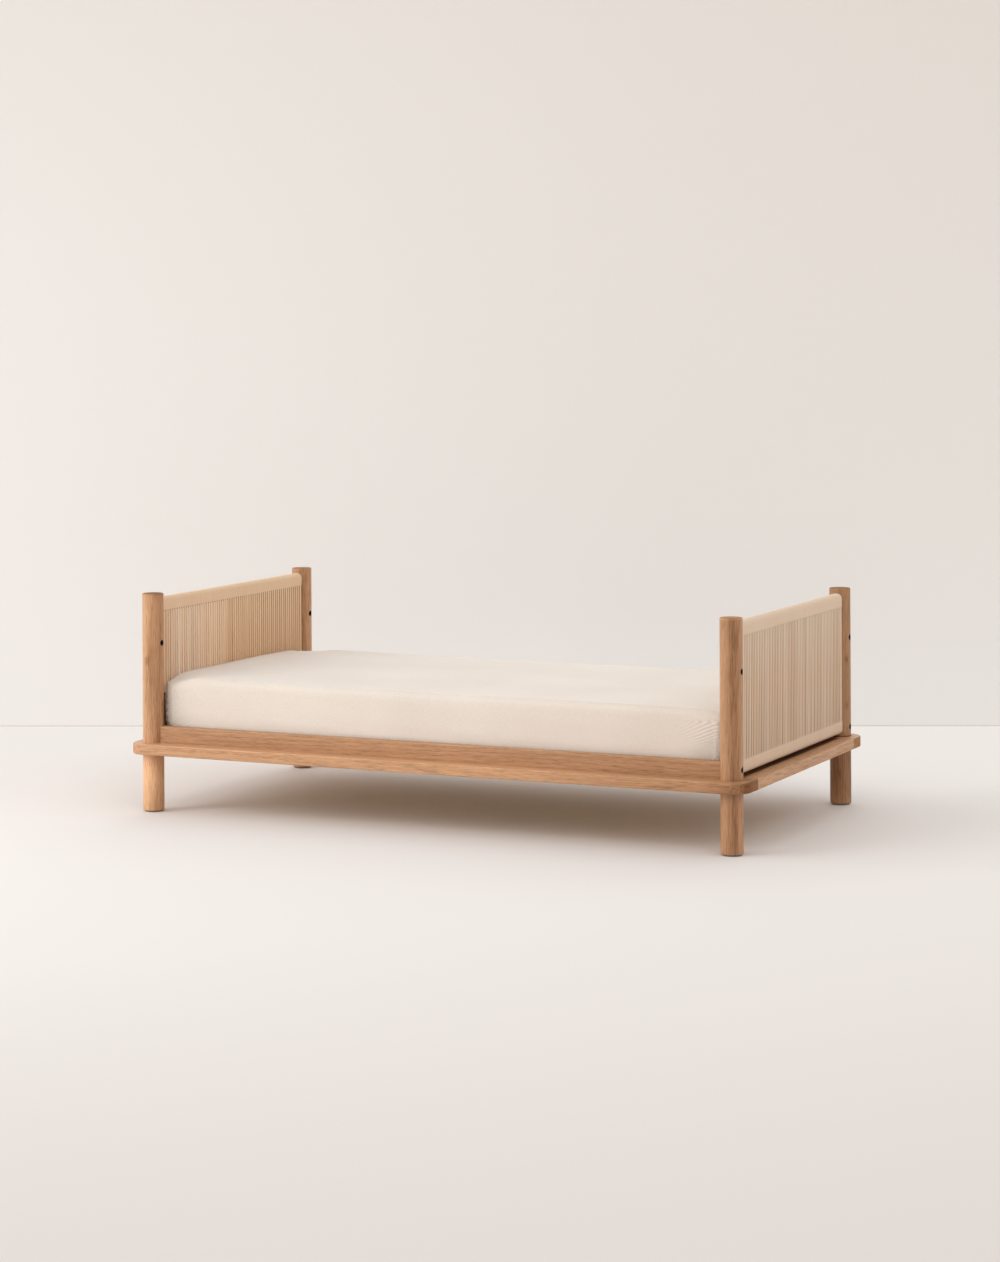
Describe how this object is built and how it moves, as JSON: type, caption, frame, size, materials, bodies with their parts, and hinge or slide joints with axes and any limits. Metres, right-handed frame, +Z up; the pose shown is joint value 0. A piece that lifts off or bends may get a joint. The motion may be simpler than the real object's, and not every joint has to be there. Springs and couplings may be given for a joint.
{
  "type": "junior bed",
  "caption": "Low oak junior bed with round posts, a ledge with rounded corners all round, cord-wound end panels, slats and a sheeted mattress that lifts out.",
  "frame": {"origin": "on the floor under the middle of the bed", "axes": "+X along the bed from the head panel to the foot panel, +Y across it to its back, +Z up"},
  "size_m": [1.542, 0.82, 0.512],
  "materials": {
    "oak": "oiled, fine open grain",
    "slat_wood": "planed, raw",
    "beech_dowel": "raw",
    "cotton_cord": "twisted cotton cord, matt",
    "webbing": "woven tape, matt",
    "zinc_steel": "zinc plated",
    "black_steel": "blackened, satin",
    "black_plastic": "matt",
    "glide_felt": "pressed felt",
    "mattress_ticking": "woven ticking, matt",
    "sheet_cotton": "washed cotton percale, matt"
  },
  "bodies": {
    "frame": {"post_front_left": "oak", "post_front_right": "oak", "post_back_left": "oak", "post_back_right": "oak", "ledge_front_board": "oak", "ledge_back_board": "oak", "ledge_left_board": "oak", "ledge_right_board": "oak", "side_rail_front": "oak", "side_rail_back": "oak", "headboard_top_rail": "oak", "headboard_bottom_rail": "oak", "headboard_rod": "oak", "headboard_cord": "cotton_cord", "footboard_top_rail": "oak", "footboard_bottom_rail": "oak", "footboard_rod": "oak", "footboard_cord": "cotton_cord", "slat_1": "slat_wood", "slat_2": "slat_wood", "slat_3": "slat_wood", "slat_4": "slat_wood", "slat_5": "slat_wood", "slat_6": "slat_wood", "slat_7": "slat_wood", "slat_8": "slat_wood", "slat_9": "slat_wood", "slat_10": "slat_wood", "slat_11": "slat_wood", "slat_12": "slat_wood", "slat_13": "slat_wood", "slat_14": "slat_wood", "slat_webbing": "webbing", "slat_screws": "zinc_steel", "ledge_screws": "zinc_steel", "ledge_dowels": "beech_dowel", "panel_dowels": "beech_dowel", "rail_bolts": "black_steel", "barrel_nuts": "zinc_steel", "guard_rail_sleeves": "black_plastic", "foot_glides": "glide_felt"},
    "mattress": {"mattress": "mattress_ticking", "fitted_sheet": "sheet_cotton"}
  },
  "joints": [
    {"name": "mattress_lift", "type": "slide", "parent": "frame", "child": "mattress", "axis": [0, 0, 1], "range_m": [0, 0.34]}
  ]
}
